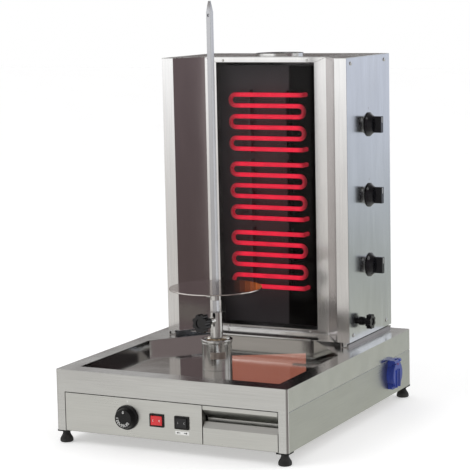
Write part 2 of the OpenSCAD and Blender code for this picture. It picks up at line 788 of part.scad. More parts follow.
placed() base_shell();
placed() worktop();
placed() drip_pan();
placed() control_panel();
placed() bottom_plate();
placed() foot_caps();
placed() rubber_feet();
placed() drawer_runners();
placed() drawer_front();
placed() drawer_box();
placed() regulator_body();
placed() regulator_shaft();
placed() regulator_dial();
placed() main_switch_body();
placed() main_rocker();
placed() direction_switch_body();
placed() direction_rocker();
placed() socket_housing();
placed() socket_insert();
placed() socket_lid();
placed() cable_gland();
placed() gear_motor();
placed() shaft_coupling();
placed() spindle_housing();
placed() nameplate();
placed() spindle_bushes();
placed() spindle();
placed() clamp_knob();
placed() clamp_screw();
placed() spit();
placed() meat_disc();
placed() disc_collar();
placed() collar_screw();
placed() slide_rails();
placed() lock_tab();
placed() lock_knob();
placed() lock_stud();
placed() tower_floor();
placed() side_panel_left();
placed() side_panel_right();
placed() panel_screws();
placed() rear_panel();
placed() roof();
placed() vent_collar();
placed() reflector_left();
placed() reflector_right();
placed() glass_frame();
placed() glass_panel();
placed() lip_plate();
placed() edge_rod();
placed() heater_bottom();
placed() heater_middle();
placed() heater_top();
placed() heater_board();
placed() heater_supports();
placed() heat_switches();
placed() heat_knob_bottom();
placed() heat_knob_middle();
placed() heat_knob_top();
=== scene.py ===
"""Looks for the vertical rotisserie broiler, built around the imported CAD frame."""

import math

import bpy
from mathutils import Matrix, Vector


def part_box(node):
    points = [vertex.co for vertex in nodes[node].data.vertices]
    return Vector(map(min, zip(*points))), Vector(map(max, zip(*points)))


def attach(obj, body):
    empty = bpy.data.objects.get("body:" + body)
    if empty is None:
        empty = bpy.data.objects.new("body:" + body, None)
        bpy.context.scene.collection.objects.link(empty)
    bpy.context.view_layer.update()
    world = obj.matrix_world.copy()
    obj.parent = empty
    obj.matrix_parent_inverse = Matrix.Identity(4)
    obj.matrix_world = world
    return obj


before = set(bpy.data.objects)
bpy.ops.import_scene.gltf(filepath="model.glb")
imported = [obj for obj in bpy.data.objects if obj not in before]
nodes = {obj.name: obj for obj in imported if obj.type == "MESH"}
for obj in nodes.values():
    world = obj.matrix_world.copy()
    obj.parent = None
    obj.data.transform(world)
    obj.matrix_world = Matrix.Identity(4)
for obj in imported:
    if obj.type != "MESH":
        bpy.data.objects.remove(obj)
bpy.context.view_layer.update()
scene = bpy.context.scene
MM = 0.001


# ------------------------------------------------------------------ camera

CAMERA_AT = Vector((1.607, -3.237, 0.885))
CAMERA_AZIMUTH = math.radians(26.64)
CAMERA_ELEVATION = math.radians(7.94)
CAMERA_ROLL = math.radians(-1.17)
CAMERA_LENS = 137.72


def make_camera():
    az, el, roll = CAMERA_AZIMUTH, CAMERA_ELEVATION, CAMERA_ROLL
    back = Vector((math.sin(az) * math.cos(el), -math.cos(az) * math.cos(el), math.sin(el)))
    right = Vector((math.cos(az), math.sin(az), 0))
    up = back.cross(right)
    x = math.cos(roll) * right + math.sin(roll) * up
    y = math.cos(roll) * up - math.sin(roll) * right
    data = bpy.data.cameras.new("camera")
    data.lens = CAMERA_LENS
    data.sensor_width = 36
    data.clip_start = 0.05
    data.clip_end = 100
    cam = bpy.data.objects.new("camera", data)
    cam.matrix_world = Matrix.Translation(CAMERA_AT) @ Matrix((x, y, back)).transposed().to_4x4()
    scene.collection.objects.link(cam)
    scene.camera = cam


make_camera()
scene.view_settings.view_transform = "Standard"
scene.view_settings.look = "None"


# ------------------------------------------------------------------ node helpers

class Graph:
    """A short way to write a node tree."""

    def __init__(self, tree):
        self.tree = tree

    def node(self, kind, **settings):
        n = self.tree.nodes.new("ShaderNode" + kind)
        for key, value in settings.items():
            setattr(n, key, value)
        return n

    def link(self, a, b):
        self.tree.links.new(a, b)

    def feed(self, socket, value):
        """Links the value to the socket, or sets it there when it is a constant."""
        if isinstance(value, bpy.types.NodeSocket):
            self.link(value, socket)
        else:
            socket.default_value = value

    def parts(self, vector):
        """The x, y and z of a vector."""
        split = self.node("SeparateXYZ")
        self.link(vector, split.inputs[0])
        return split.outputs

    def ramp(self, value, stops):
        r = self.node("ValToRGB")
        e = r.color_ramp.elements
        while len(e) < len(stops):
            e.new(1.0)
        for k, (at, colour) in enumerate(stops):
            e[k].position = at
            e[k].color = (*colour, 1.0)
        self.link(value, r.inputs[0])
        return r.outputs[0]

    def span(self, value, low, high, from_low=0.0, from_high=1.0, curve="LINEAR"):
        """Takes values between from_low and from_high to values between low and high."""
        m = self.node("MapRange", interpolation_type=curve)
        m.inputs["From Min"].default_value = from_low
        m.inputs["From Max"].default_value = from_high
        m.inputs["To Min"].default_value = low
        m.inputs["To Max"].default_value = high
        self.link(value, m.inputs["Value"])
        return m.outputs[0]

    def math(self, operation, a, b):
        m = self.node("Math", operation=operation)
        self.feed(m.inputs[0], a)
        self.feed(m.inputs[1], b)
        return m.outputs[0]

    def mix(self, share, a, b):
        """Mixes two colours, each a socket or a constant."""
        m = self.node("Mix", data_type="RGBA")
        for name, value in (("Factor", share), ("A", a), ("B", b)):
            socket = [s for s in m.inputs if s.name == name and s.enabled][0]
            self.feed(socket, (*value, 1.0) if isinstance(value, tuple) else value)
        return [s for s in m.outputs if s.enabled][0]


class Material(Graph):
    """A material's nodes, around its one Principled shader."""

    def __init__(self, name):
        self.mat = bpy.data.materials.new(name)
        self.mat.use_nodes = True
        super().__init__(self.mat.node_tree)
        self.shader = self.tree.nodes["Principled BSDF"]
        self.out = self.tree.nodes["Material Output"]
        self.place = self.node("TexCoord").outputs["Object"]

    def put(self, **values):
        """Sets the shader's inputs by name, with _ for each space."""
        for key, value in values.items():
            self.feed(self.shader.inputs[key.replace("_", " ")], value)

    def noise(self, scale, stretch=(1, 1, 1), detail=3.0, rough=0.5, distortion=0.0):
        m = self.node("Mapping")
        m.inputs["Scale"].default_value = stretch
        self.link(self.place, m.inputs["Vector"])
        n = self.node("TexNoise")
        n.inputs["Scale"].default_value = scale
        n.inputs["Detail"].default_value = detail
        n.inputs["Roughness"].default_value = rough
        n.inputs["Distortion"].default_value = distortion
        self.link(m.outputs[0], n.inputs["Vector"])
        return n.outputs[0]

    def bump(self, height, strength, distance):
        b = self.node("Bump")
        b.inputs["Strength"].default_value = strength
        b.inputs["Distance"].default_value = distance
        self.link(height, b.inputs["Height"])
        self.link(b.outputs[0], self.shader.inputs["Normal"])


# How much each grain squeezes the noise along x, y and z: lines run the way that is squeezed least
GRAIN = {"X": (1.5, 260, 260), "Y": (260, 1.5, 260), "Z": (260, 260, 1.5), "ring": (14, 14, 420)}
PATCH_SQUEEZE = 0.015  # the share of that squeeze that the broad patches in the sheet have
STEEL_BUMP = 0.00002  # the height of the grain's lines
# Where the painted reflection on faces that slant away from the front fades in:
FRONT_NORMAL_Y = -0.95  # a face with this normal still counts as facing the front
SLANTED_NORMAL_Y = -0.75  # and one with this is slanted


def steel(name, colour, rough, grain="X", depth=0.08, smudge=0.05, tint=0.06, slant_reflection=None):
    """Sheet steel: fine grain along one axis, faint handling marks, a slightly uneven polish.

    Given a second colour, faces that slant away from the front take it: a painted reflection of a dark
    surround."""
    g = Material(name)
    lines = g.noise(6.0, GRAIN[grain], detail=4.0, rough=0.65)
    marks = g.noise(9.0, detail=4.0, rough=0.6, distortion=0.6)
    wide = g.noise(2.4, detail=2.0)
    patch = g.noise(5.0, tuple(1 + (s - 1) * PATCH_SQUEEZE for s in GRAIN[grain]), detail=5.0, rough=0.6)
    shade = g.math("ADD", g.math("MULTIPLY", lines, 0.6), g.math("MULTIPLY", patch, 0.4))

    def brushed(base):
        dark = tuple(c * (1 - tint) for c in base)
        light = tuple(min(1.0, c * (1 + tint * 0.6)) for c in base)
        return g.ramp(shade, [(0.36, dark), (0.62, light)])

    surface = brushed(colour)
    # Painted reflection: faces slanting away from the front take the dark colour that stands in for the
    # surround they reflect.
    if slant_reflection:
        normal = g.parts(g.node("NewGeometry").outputs["True Normal"])
        slanted = g.span(normal[1], 0.0, 1.0, FRONT_NORMAL_Y, SLANTED_NORMAL_Y)
        surface = g.mix(slanted, surface, brushed(slant_reflection))
    g.put(Metallic=1.0, Base_Color=surface)
    streak = g.span(lines, rough * 0.82, rough * 1.25)
    cloud = g.span(marks, -smudge * 0.5, smudge, 0.35, 0.7)
    haze = g.span(wide, 0.0, smudge * 0.6, 0.4, 0.7)
    g.put(Roughness=g.math("ADD", g.math("ADD", streak, cloud), haze))
    g.bump(lines, depth, STEEL_BUMP)
    return g.mat


def turned(name, colour, rough, depth=0.08):
    """Bright turned steel, with the lathe's fine rings."""
    return steel(name, colour, rough, "ring", depth, 0.03, 0.05)


def plastic(name, colour, rough, coat, texture, speck=900.0, gloss=0.5):
    """Moulded plastic: a fine spark texture and a slightly uneven, rubbed colour."""
    g = Material(name)
    fine = g.noise(speck, detail=2.0)
    wear = g.noise(26.0, detail=4.0, rough=0.6)
    light = tuple(min(1.0, c * 1.35 + 0.002) for c in colour)
    g.put(Base_Color=g.ramp(wear, [(0.38, colour), (0.8, light)]),
          Roughness=g.math("ADD", g.span(wear, rough * 0.8, rough * 1.3), g.span(fine, -0.02, 0.03)),
          Coat_Weight=coat, Coat_Roughness=0.06, Specular_IOR_Level=gloss)
    g.bump(fine, texture, 0.00004)
    return g.mat


# ------------------------------------------------------------------ materials

HEATER_COOL = (0.16, 0.006, 0.012)
HEATER_HOT = (0.86, 0.012, 0.05)
HEATER_POWER = 1.0
LEFT_BENDS = (-0.100, -0.072)  # between these the glow comes up, at the tubes' left bends
RIGHT_BENDS = (0.058, 0.075)  # and here it goes down again


def heater_material():
    """A glowing tube: a brighter wound core, hotter in the middle and cooler towards the bends."""
    g = Material("heater_glow")
    x = g.parts(g.place)[0]
    heat = g.math("MULTIPLY", g.span(x, 0.0, 1.0, *LEFT_BENDS), g.span(x, 1.0, 0.0, *RIGHT_BENDS))
    wave = g.node("TexWave", wave_type="BANDS", bands_direction="X")
    wave.inputs["Scale"].default_value = 130.0
    wave.inputs["Distortion"].default_value = 0.4
    g.link(g.place, wave.inputs["Vector"])
    uneven = g.noise(40.0, detail=2.0)
    turns = g.span(wave.outputs[1], 0.82, 1.12)
    power = g.math("MULTIPLY", turns, g.span(uneven, 0.85, 1.15, 0.3, 0.7))
    g.put(Base_Color=g.mix(heat, (0.05, 0.01, 0.012), (0.25, 0.01, 0.02)),
          Roughness=g.span(uneven, 0.3, 0.5),
          Emission_Color=g.mix(heat, HEATER_COOL, HEATER_HOT),
          Emission_Strength=g.math("MULTIPLY", power, HEATER_POWER))
    g.bump(wave.outputs[1], 0.3, 0.0004)
    return g.mat


def glass_material():
    """Dark heat-proof glass that shows what glows behind it."""
    g = Material("heater_glass")
    see = g.node("BsdfTransparent")
    see.inputs[0].default_value = (0.95, 0.93, 0.93, 1.0)
    shine = g.node("BsdfGlossy")
    smear = g.noise(18.0, detail=4.0, rough=0.65, distortion=0.8)
    g.link(g.span(smear, 0.02, 0.1, 0.4, 0.75), shine.inputs["Roughness"])
    face = g.node("LayerWeight")
    face.inputs["Blend"].default_value = 0.08
    haze = g.node("BsdfDiffuse")
    g.link(g.ramp(smear, [(0.3, (0.004, 0.004, 0.004)), (0.8, (0.02, 0.019, 0.019))]), haze.inputs["Color"])
    veil = g.node("MixShader")
    veil.inputs[0].default_value = 0.06
    g.link(see.outputs[0], veil.inputs[1])
    g.link(haze.outputs[0], veil.inputs[2])
    mixed = g.node("MixShader")
    g.link(g.span(face.outputs["Fresnel"], 0.006, 0.9), mixed.inputs[0])
    g.link(veil.outputs[0], mixed.inputs[1])
    g.link(shine.outputs[0], mixed.inputs[2])
    g.tree.nodes.remove(g.shader)
    g.link(mixed.outputs[0], g.out.inputs["Surface"])
    return g.mat


REFLECTION_EDGE = 0.0185  # how far right of the middle the painted reflection's grey ends and the black starts, at the height of the floor
REFLECTION_LEAN = 0.0166  # and how much further right that is for each metre up
REFLECTION_SOFT = 0.0015  # half the width of the line between grey and black


def insulation_material():
    """Fibre board behind the heaters, black: the dark grey on its left is a painted reflection of the left
    wing in the glass.
    """
    g = Material("insulation_board")
    fibre = g.noise(120.0, (1, 1, 4), detail=6.0, rough=0.7)
    stain = g.noise(7.0, detail=3.0)
    place = g.parts(g.place)
    # Painted reflection: left of this leaning line the board is grey, standing in for the glass reflecting
    # the left wing; right of it the board is black.
    across = g.math("SUBTRACT", place[0], g.math("MULTIPLY", place[2], REFLECTION_LEAN))
    past_reflection = g.span(across, 0.0, 1.0, REFLECTION_EDGE - REFLECTION_SOFT, REFLECTION_EDGE + REFLECTION_SOFT)
    reflected_grey = g.mix(g.span(stain, 0, 1, 0.35, 0.7), (0.062, 0.062, 0.067), (0.074, 0.074, 0.079))
    g.put(Base_Color=g.mix(past_reflection, reflected_grey, (0.001, 0.001, 0.001)), Roughness=g.span(fibre, 0.8, 0.95),
          Specular_IOR_Level=0.1)
    g.bump(fibre, 0.5, 0.0006)
    return g.mat


def rubber_material():
    """Black rubber with dust on it."""
    g = Material("foot_rubber")
    fine = g.noise(500.0, detail=3.0)
    dust = g.noise(60.0, detail=4.0, rough=0.6)
    g.put(Base_Color=g.ramp(dust, [(0.4, (0.012, 0.012, 0.012)), (0.85, (0.05, 0.048, 0.045))]),
          Roughness=g.span(fine, 0.55, 0.75))
    g.bump(fine, 0.3, 0.0001)
    return g.mat


def print_material(name, colour):
    """Slightly worn print."""
    g = Material(name)
    worn = g.noise(300.0, detail=4.0, rough=0.7)
    g.put(Base_Color=g.ramp(worn, [(0.25, tuple(c * 0.82 for c in colour)), (0.6, colour)]),
          Roughness=g.span(worn, 0.4, 0.6))
    g.bump(worn, 0.1, 0.00005)
    return g.mat


def plate_material():
    """A blank etched plate: a fine brushed field."""
    g = Material("blank_plate")
    lines = g.noise(9.0, (30, 30, 500), detail=4.0)
    spots = g.noise(90.0, detail=3.0)
    field = g.mix(g.span(spots, 0, 1, 0.4, 0.7), (0.42, 0.36, 0.33), (0.52, 0.46, 0.42))
    g.put(Metallic=1.0, Base_Color=field, Roughness=g.span(lines, 0.28, 0.42))
    g.bump(lines, 0.1, 0.00003)
    return g.mat


def casting_material():
    """Rough cast aluminium."""
    g = Material("motor_casting")
    grit = g.noise(220.0, detail=5.0, rough=0.7)
    g.put(Metallic=1.0, Base_Color=g.ramp(grit, [(0.3, (0.35, 0.35, 0.36)), (0.7, (0.52, 0.52, 0.53))]),
          Roughness=g.span(grit, 0.45, 0.7))
    g.bump(grit, 0.4, 0.0003)
    return g.mat


MATERIALS = {
    "cabinet": steel("cabinet_steel", (0.64, 0.645, 0.62), 0.28, "X", 0.12, tint=0.09),
    "cabinet_side": steel("cabinet_side_steel", (0.58, 0.585, 0.55), 0.28, "Y", 0.12, tint=0.09),
    "worktop": steel("worktop_steel", (0.66, 0.665, 0.655), 0.17, "X", 0.08, 0.04, tint=0.09),
    "pan": steel("pan_steel", (0.74, 0.74, 0.72), 0.07, "X", 0.02, 0.03),
    "tower": steel("tower_steel", (0.71, 0.72, 0.72), 0.17, "Z", 0.08, 0.04, tint=0.12),
    # The wings' slanted faces take a painted dark brown reflection.
    "wing": steel("wing_steel", (0.80, 0.80, 0.80), 0.12, "Z", 0.05, 0.03, tint=0.10,
                  slant_reflection=(0.50, 0.465, 0.465)),
    "mirror": steel("reflector_steel", (0.77, 0.765, 0.76), 0.13, "Z", 0.05, 0.03, tint=0.10),
    "inner": steel("inner_steel", (0.5, 0.5, 0.49), 0.4, "Y", 0.1),
    # Painted shade: the rails and lock tab are darkened for the shadowed gap under the tower.
    "shade": steel("rail_steel_painted_shade", (0.34, 0.32, 0.31), 0.35, "Y", 0.1),
    "bright": turned("turned_steel", (0.74, 0.74, 0.73), 0.13),
    "spit": steel("spit_steel", (0.49, 0.495, 0.515), 0.2, "Z", 0.08, 0.04),
    "disc": turned("disc_steel", (0.72, 0.68, 0.66), 0.10, 0.01),
    "black": plastic("gloss_black", (0.006, 0.006, 0.008), 0.10, 0.0, 0.02),
    "dial": plastic("dial_black", (0.004, 0.004, 0.0045), 0.26, 0.0, 0.06, gloss=0.35),
    "matte": plastic("matte_black", (0.006, 0.006, 0.006), 0.45, 0.0, 0.15, gloss=0.3),
    "red": plastic("rocker_red", (0.55, 0.012, 0.018), 0.22, 0.5, 0.04),
    "blue": plastic("socket_blue", (0.020, 0.040, 0.25), 0.30, 0.1, 0.2, 600.0),
    "ceramic": plastic("switch_ceramic", (0.6, 0.56, 0.46), 0.5, 0.0, 0.2),
    "bronze": turned("bush_bronze", (0.5, 0.33, 0.14), 0.3),
    "casting": casting_material(),
    "heater": heater_material(),
    "glass": glass_material(),
    "board": insulation_material(),
    "rubber": rubber_material(),
    "plate": plate_material(),
    "white": print_material("white_print", (0.82, 0.82, 0.8)),
    "grey": print_material("grey_print", (0.32, 0.32, 0.32)),
    "dark_red": print_material("dark_red_print", (0.25, 0.02, 0.03)),
}

FINISH = {  # which of them each CAD node is made of
    "base_shell": "cabinet_side", "worktop": "worktop", "drip_pan": "pan", "edge_rod": "bright",
    "control_panel": "cabinet", "bottom_plate": "inner", "foot_caps": "matte", "rubber_feet": "rubber",
    "drawer_runners": "inner", "drawer_front": "cabinet", "drawer_box": "inner",
    "regulator_body": "ceramic", "regulator_shaft": "bright", "regulator_dial": "dial",
    "main_switch_body": "matte", "main_rocker": "red", "direction_switch_body": "matte",
    "direction_rocker": "black", "socket_housing": "blue", "socket_insert": "matte",
    "socket_lid": "blue", "cable_gland": "matte", "gear_motor": "casting", "shaft_coupling": "bright",
    "spindle_housing": "bright", "nameplate": "plate", "spindle_bushes": "bronze", "spindle": "bright",
    "clamp_knob": "black", "clamp_screw": "bright", "spit": "spit", "meat_disc": "disc",
    "disc_collar": "bright", "collar_screw": "bright", "slide_rails": "shade", "lock_tab": "shade",
    "lock_knob": "black", "lock_stud": "bright", "tower_floor": "tower", "side_panel_left": "tower",
    "side_panel_right": "tower", "panel_screws": "bright", "rear_panel": "tower", "roof": "tower",
    "vent_collar": "bright", "reflector_left": "wing", "reflector_right": "wing",
    "glass_frame": "mirror", "glass_panel": "glass", "lip_plate": "mirror",
    "heater_bottom": "heater", "heater_middle": "heater", "heater_top": "heater",
    "heater_board": "board", "heater_supports": "board", "heat_switches": "ceramic",
    "heat_knob_bottom": "black", "heat_knob_middle": "black", "heat_knob_top": "black",
}

EDGE = {  # how far each node's hard edges are rounded, in millimetres
    "worktop": 0.9, "base_shell": 0.4, "control_panel": 0.8, "drawer_front": 0.5,
    "regulator_dial": 0.6, "main_rocker": 0.5, "direction_rocker": 0.5, "main_switch_body": 0.4,
    "direction_switch_body": 0.4, "socket_housing": 0.8, "socket_lid": 0.8, "cable_gland": 0.6,
    "spindle_housing": 0.5, "spindle": 0.4, "clamp_knob": 1.0, "clamp_screw": 0.3, "spit": 0.5,
    "meat_disc": 0.6, "disc_collar": 0.5, "collar_screw": 0.4, "lock_knob": 0.9, "lock_stud": 0.3,
    "roof": 0.3, "vent_collar": 0.3, "rear_panel": 0.3, "glass_frame": 0.2,
    "heat_knob_bottom": 1.0, "heat_knob_middle": 1.0, "heat_knob_top": 1.0,
    "foot_caps": 0.5, "nameplate": 0.15, "panel_screws": 0.2, "gear_motor": 1.5,
}
WELD_WITHIN = 1e-6  # metres
HARD_EDGE = math.radians(26)  # edges that turn more than this are rounded
FACE_WEIGHT = 60  # how much the big faces rule the shading of the rounded edges


def dress(name, obj):
    """Gives a CAD node its material, and rounds its hard edges where EDGE says so."""
    obj.data.materials.clear()
    obj.data.materials.append(MATERIALS[FINISH[name]])
    width = EDGE.get(name)
    if not width:
        return
    if "custom_normal" in obj.data.attributes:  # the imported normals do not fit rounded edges
        obj.data.attributes.remove(obj.data.attributes["custom_normal"])
    obj.data.polygons.foreach_set("use_smooth", [True] * len(obj.data.polygons))
    weld = obj.modifiers.new("weld", "WELD")
    weld.merge_threshold = WELD_WITHIN
    bevel = obj.modifiers.new("edges", "BEVEL")
    bevel.width = width * MM
    bevel.segments = 2
    bevel.limit_method = "ANGLE"
    bevel.angle_limit = HARD_EDGE
    bevel.use_clamp_overlap = True
    normals = obj.modifiers.new("normals", "WEIGHTED_NORMAL")
    normals.weight = FACE_WEIGHT
    normals.keep_sharp = False


for node_name, node_object in nodes.items():
    dress(node_name, node_object)
for level in ("bottom", "middle", "top"):
    nodes["heater_" + level].visible_glossy = False  # the glow lights below stand for its reflection


# ------------------------------------------------------------------ small pieces

PRINT = 0.08 * MM  # how far a print stands out from the face it is on


def mesh_piece(name, verts, faces, finish, body, smooth=False):
    """A visible piece that the CAD model has no node for, riding on one body."""
    data = bpy.data.meshes.new(name)
    data.from_pydata([tuple(v) for v in verts], [], faces)
    data.update()
    obj = bpy.data.objects.new(name, data)
    scene.collection.objects.link(obj)
    data.materials.append(MATERIALS[finish])
    if smooth:
        data.polygons.foreach_set("use_smooth", [True] * len(data.polygons))
    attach(obj, body)
    return obj


def slab(outline, place, thick):
    """A thin raised shape: the outline lies in the place's XY plane and rises along its Z."""
    n = len(outline)
    verts = [place @ Vector((x, y, 0)) for x, y in outline]
    verts += [place @ Vector((x, y, thick)) for x, y in outline]
    faces = [tuple(range(n - 1, -1, -1)), tuple(range(n, 2 * n))]
    faces += [(k, (k + 1) % n, n + (k + 1) % n, n + k) for k in range(n)]
    return verts, faces


def joined(shapes):
    """Several shapes as one list of vertices and one of faces."""
    verts, faces = [], []
    for v, f in shapes:
        start = len(verts)
        verts += v
        faces += [tuple(i + start for i in face) for face in f]
    return verts, faces


def front_place(x, y, z):
    """Axes of a print on a front face: X right, Y up, Z towards the viewer."""
    return Matrix.Translation((x, y, z)) @ Matrix(((1, 0, 0), (0, 0, -1), (0, 1, 0))).to_4x4()


def side_place(x, y, z):
    """Axes of a print on the right side: X to the back, Y up, Z outwards."""
    return Matrix.Translation((x, y, z)) @ Matrix(((0, 0, 1), (1, 0, 0), (0, 1, 0))).to_4x4()


def bar(w, h, x=0.0, y=0.0, turn=0.0):
    """A rectangle's outline with its middle at x, y."""
    c, s = math.cos(turn), math.sin(turn)
    corners = [(-w / 2, -h / 2), (w / 2, -h / 2), (w / 2, h / 2), (-w / 2, h / 2)]
    return [(x + c * a - s * b, y + s * a + c * b) for a, b in corners]


# The seven strokes that digits are made of: width, height, and middle, in a cell one unit high
STROKES = {
    "top": (0.56, 0.19, 0.0, 0.42), "middle": (0.56, 0.17, 0.0, 0.0), "low": (0.56, 0.19, 0.0, -0.42),
    "high_left": (0.19, 0.52, -0.2, 0.22), "high_right": (0.19, 0.52, 0.2, 0.22),
    "low_left": (0.19, 0.52, -0.2, -0.22), "low_right": (0.19, 0.52, 0.2, -0.22),
}
DIGITS = {
    0: "top low high_left high_right low_left low_right", 1: "high_right low_right",
    2: "top middle low high_right low_left", 3: "top middle low high_right low_right",
    4: "middle high_left high_right low_right", 5: "top middle low high_left low_right",
    6: "top middle low high_left low_left low_right", 7: "top high_right low_right",
    8: "top middle low high_left high_right low_left low_right",
    9: "top middle low high_left high_right low_right",
}


DIGIT_HEIGHT = 5.2 * MM
DIGIT_RADIUS = 13.0 * MM  # from the dial's axis to the middle of each digit
DIGIT_SET_BACK = 0.4 * MM  # from the dial's foremost point back to the face with the digits
DIGIT_RISE = 0.12 * MM


def dial_marks():
    """The digits 0 to 9 on the dial: 0 on top, the others round the lower half."""
    low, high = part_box("regulator_dial")
    place = front_place((low.x + high.x) / 2, low.y + DIGIT_SET_BACK, (low.z + high.z) / 2)
    shapes = []
    for digit, strokes in DIGITS.items():
        angle = math.radians(90 if digit == 0 else 180 + (digit - 1) * 18)
        turn = angle - math.radians(90)
        for stroke in strokes.split():
            w, h, dx, dy = STROKES[stroke]
            across = DIGIT_HEIGHT * (dx * math.cos(turn) - dy * math.sin(turn))
            up = DIGIT_HEIGHT * (dx * math.sin(turn) + dy * math.cos(turn))
            outline = bar(w * DIGIT_HEIGHT, h * DIGIT_HEIGHT, DIGIT_RADIUS * math.cos(angle) + across,
                          DIGIT_RADIUS * math.sin(angle) + up, turn)
            shapes.append(slab(outline, place, DIGIT_RISE))
    v, f = joined(shapes)
    mesh_piece("dial_digits", v, f, "white", "speed_dial")


ARROW_TIP = 11.5 * MM  # from the strip's middle
ARROW_LENGTH = 3.0 * MM
ARROW_HALF_WIDTH = 2.3 * MM
STRIP_DROP = 7.2 * MM  # from the switch's lower edge down to the strip's middle


def panel_marks():
    """The index over the dial, and the strip with two arrows under the direction switch."""
    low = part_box("control_panel")[0]
    dial_low, dial_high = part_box("regulator_dial")
    x = (dial_low.x + dial_high.x) / 2
    place = front_place(x + 1.5 * MM, low.y, dial_high.z + 7.4 * MM)
    v, f = slab([(-1.6 * MM, 1.5 * MM), (0, -2.4 * MM), (1.6 * MM, 1.5 * MM)], place, PRINT)
    mesh_piece("dial_index", v, f, "white", "base")

    body_low, body_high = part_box("direction_switch_body")
    x = (body_low.x + body_high.x) / 2
    v, f = slab(bar(29 * MM, 6.6 * MM), front_place(x, low.y, body_low.z - STRIP_DROP), PRINT)
    mesh_piece("direction_strip", v, f, "white", "base")
    place = front_place(x, low.y - PRINT, body_low.z - STRIP_DROP)
    arrows = []
    for side in (-1, 1):
        foot = side * (ARROW_TIP - ARROW_LENGTH)
        head = [(side * ARROW_TIP, 0), (foot, ARROW_HALF_WIDTH), (foot, -ARROW_HALF_WIDTH)]
        if side > 0:
            head.reverse()
        arrows.append(slab(head, place, 0.07 * MM))
        arrows.append(slab(bar(4.6 * MM, 1.3 * MM, side * 6.4 * MM), place, 0.07 * MM))
    v, f = joined(arrows)
    mesh_piece("direction_arrows", v, f, "matte", "base")


def ring_slab(radius, hole, place, thick):
    """A thin raised ring, with its hole as a share of its radius."""
    angles = [math.radians(a) for a in range(0, 360, 20)]
    outer = [(math.cos(t) * radius, math.sin(t) * radius) for t in angles]
    inner = [(x * hole, y * hole) for x, y in outer]
    verts = [place @ Vector((x, y, h)) for h in (0, thick) for loop in (outer, inner) for x, y in loop]
    n = len(angles)
    faces = []
    for k in range(n):
        j = (k + 1) % n
        faces += [(k, k + n, j + n, j), (2 * n + k, 2 * n + j, 3 * n + j, 3 * n + k),
                  (k, j, 2 * n + j, 2 * n + k), (n + j, n + k, 3 * n + k, 3 * n + j)]
    return verts, faces


ROCKER_AXIS_Y = -0.313  # where both rockers hinge
MAIN_ROCKER_TILT = math.radians(5.0)  # how far the main rocker is tipped at rest
ROCKER_SLOPE = math.atan2(1.4, 13.0)  # each half of a rocker's face rises to its end by this angle
PIP_OUT = 7.2 * MM  # from the hinge sideways to a pip
PIP_FORWARD = 3.38 * MM  # and forward to the face it is on
PIP_RISE = 0.06 * MM


def rocker_marks():
    """Plain pips moulded into the rockers' faces: a line on the left and a ring on the right."""
    for name, body, finish, slot_name, tilt in (
        ("direction_rocker", "direction_switch", "grey", "gloss_black", 0.0),
        ("main_rocker", "main_switch", "white", "rocker_red", MAIN_ROCKER_TILT),
    ):
        low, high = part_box(name)
        middle = ((low.x + high.x) / 2, ROCKER_AXIS_Y, (low.z + high.z) / 2)
        hinge = Matrix.Translation(middle) @ Matrix.Rotation(tilt, 4, "Z")
        shapes = []
        for side in (-1, 1):
            face = hinge @ Matrix.Translation((side * PIP_OUT, -PIP_FORWARD, 0))
            face = face @ Matrix.Rotation(side * ROCKER_SLOPE, 4, "Z") @ front_place(0, 0, 0)
            if side < 0:
                shapes.append(slab(bar(0.9 * MM, 4.6 * MM), face, PIP_RISE))
            else:
                shapes.append(ring_slab(2.1 * MM, 0.62, face, PIP_RISE))
        v, f = joined(shapes)
        mesh_piece(name + "_marks", v, f, finish, body)


def knob_marks():
    """A white line on each heat knob, and a mark on the side panel over it."""
    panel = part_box("side_panel_right")[1]
    shapes = []
    for level in ("bottom", "middle", "top"):
        low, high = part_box("heat_knob_" + level)
        y, z = (low.y + high.y) / 2, (low.z + high.z) / 2
        place = side_place(high.x, y, z)
        v, f = slab(bar(1.4 * MM, 12 * MM, 0, 9.5 * MM), place, PRINT)
        mesh_piece("heat_knob_line_" + level, v, f, "white", "knob_" + level)
        place = side_place(panel.x, y, z)
        shapes.append(slab(bar(1.4 * MM, 4.6 * MM, 0, 33 * MM), place, PRINT))
    v, f = joined(shapes)
    mesh_piece("heat_scale_marks", v, f, "grey", "tower")


def rivet(place, radius, height, steps=16, rings=3):
    """A low dome."""
    verts, faces = [place @ Vector((0, 0, height))], []
    for r in range(1, rings + 1):
        t = math.radians(90) * r / rings
        for k in range(steps):
            a = 2 * math.pi * k / steps
            out = radius * math.sin(t)
            verts.append(place @ Vector((out * math.cos(a), out * math.sin(a), height * math.cos(t))))
    for k in range(steps):
        j = (k + 1) % steps
        faces.append((0, 1 + k, 1 + j))
        for r in range(rings - 1):
            a, b = 1 + r * steps, 1 + (r + 1) * steps
            faces.append((a + k, b + k, b + j, a + j))
    faces.append(tuple(1 + (rings - 1) * steps + k for k in range(steps - 1, -1, -1)))
    return verts, faces


def plate_rivets():
    """The two rivets of the blank plate, which is bent round the hub."""
    low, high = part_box("spindle_housing")
    cx, cy = (low.x + high.x) / 2, (low.y + high.y) / 2
    plate_low, plate_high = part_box("nameplate")
    radius = cy - plate_low.y - 0.05 * MM
    z = (plate_low.z + plate_high.z) / 2
    shapes = []
    for degrees in (-86.0, -32.0):
        a = math.radians(degrees)
        out = Vector((math.cos(a), math.sin(a), 0))
        at = Vector((cx, cy, z)) + out * radius
        place = Matrix.Translation(at) @ out.to_track_quat("Z", "Y").to_matrix().to_4x4()
        shapes.append(rivet(place, 1.1 * MM, 0.6 * MM))
    v, f = joined(shapes)
    mesh_piece("plate_rivets", v, f, "bright", "base", smooth=True)


